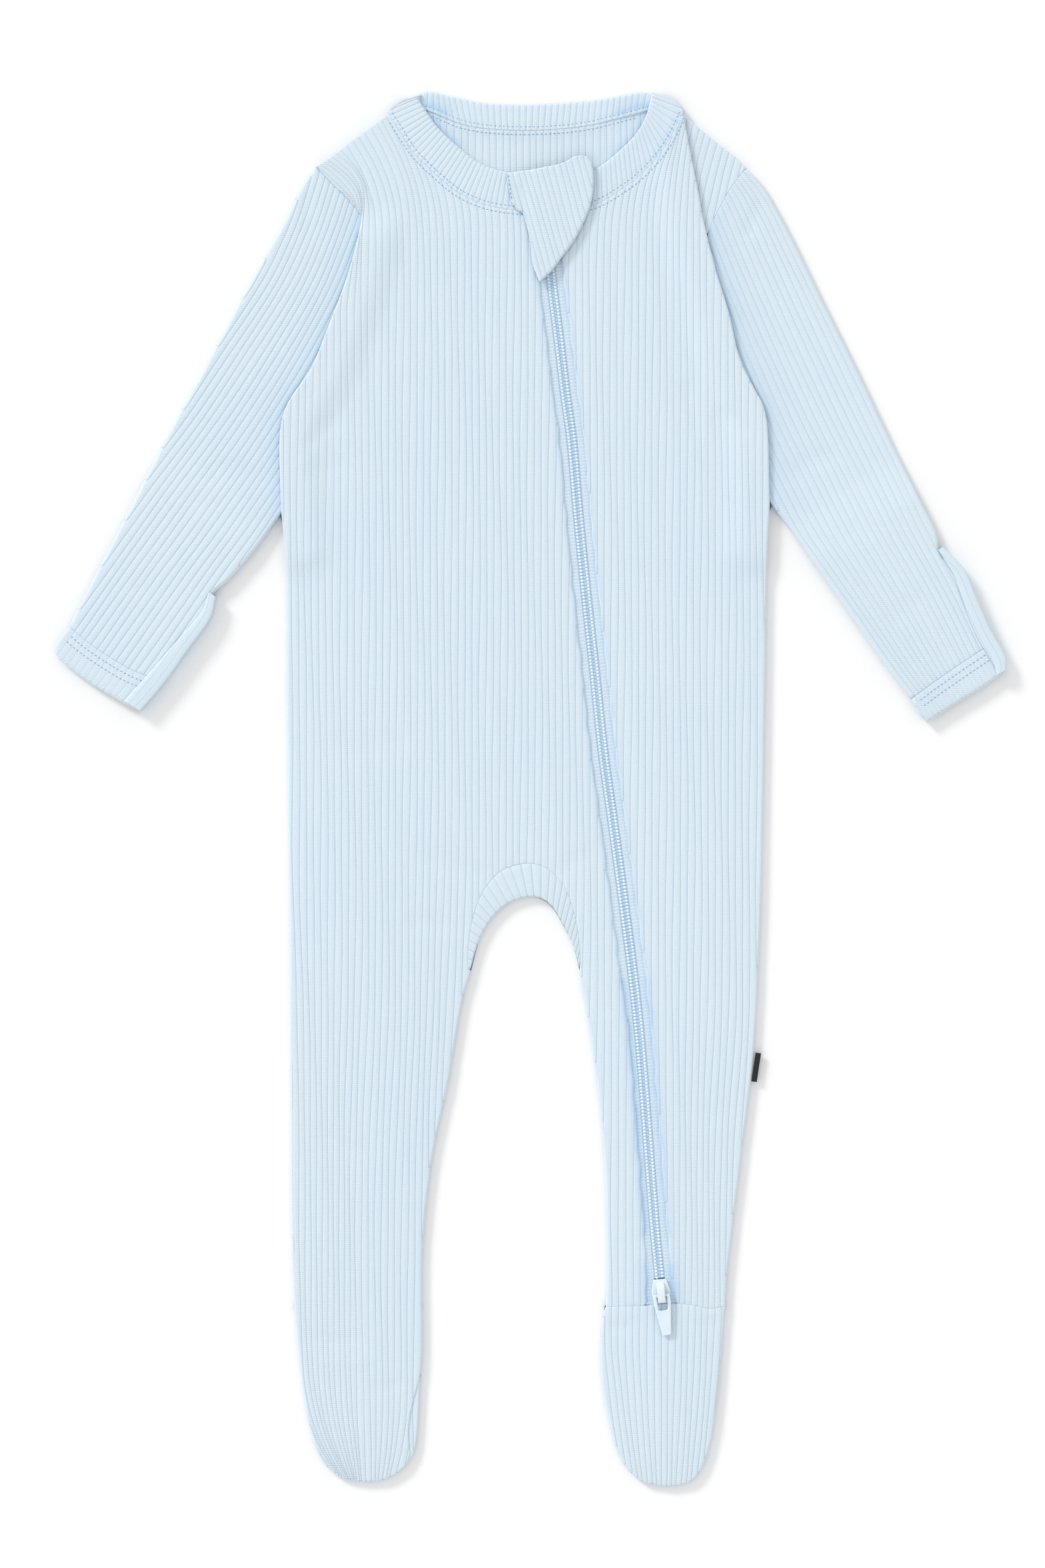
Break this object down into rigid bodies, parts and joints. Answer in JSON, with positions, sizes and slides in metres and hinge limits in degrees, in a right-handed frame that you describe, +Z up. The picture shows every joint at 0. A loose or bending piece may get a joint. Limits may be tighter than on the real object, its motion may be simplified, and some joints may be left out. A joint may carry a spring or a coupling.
{
  "type": "footed baby sleepsuit",
  "caption": "Footed baby sleepsuit in rib knit, laid flat on its back, with a zip from the neck down one leg, fold-over mitten cuffs and a hinged pull tab.",
  "frame": {"origin": "middle of the ground that the suit covers, on the surface it lies on", "axes": "+Y from the feet to the neck, +X to the wearer's left (right in the picture), +Z up from the surface, towards the camera"},
  "size_m": [0.399, 0.5852, 0.0069],
  "materials": {
    "cloth": "matt rib knit, pale blue",
    "zip_plastic": "pale blue-white coil and painted slider",
    "label": "woven label, black"
  },
  "bodies": {
    "suit": {"back_panel": "cloth", "front_right": "cloth", "front_left": "cloth", "crotch_gusset": "cloth", "foot_upper_left": "cloth", "sole_right": "cloth", "sole_left": "cloth", "neck_band": "cloth", "zip_guard": "cloth", "zip_tape_right": "cloth", "zip_tape_left": "cloth", "sleeve_right": "cloth", "sleeve_left": "cloth", "cuff_right": "cloth", "cuff_left": "cloth", "mitten_right": "cloth", "mitten_left": "cloth", "zip_chain": "zip_plastic", "zip_slider": "zip_plastic", "zip_slider_top": "zip_plastic", "side_label": "label"},
    "pull_tab": {"pull_tab": "zip_plastic"}
  },
  "joints": [
    {"name": "pull_tab_hinge", "type": "hinge", "parent": "suit", "child": "pull_tab", "pos_m": [0.05488, -0.21195, 0.0053], "axis": [-0.9903, -0.1391, -0.002], "range_deg": [0, 170]}
  ]
}
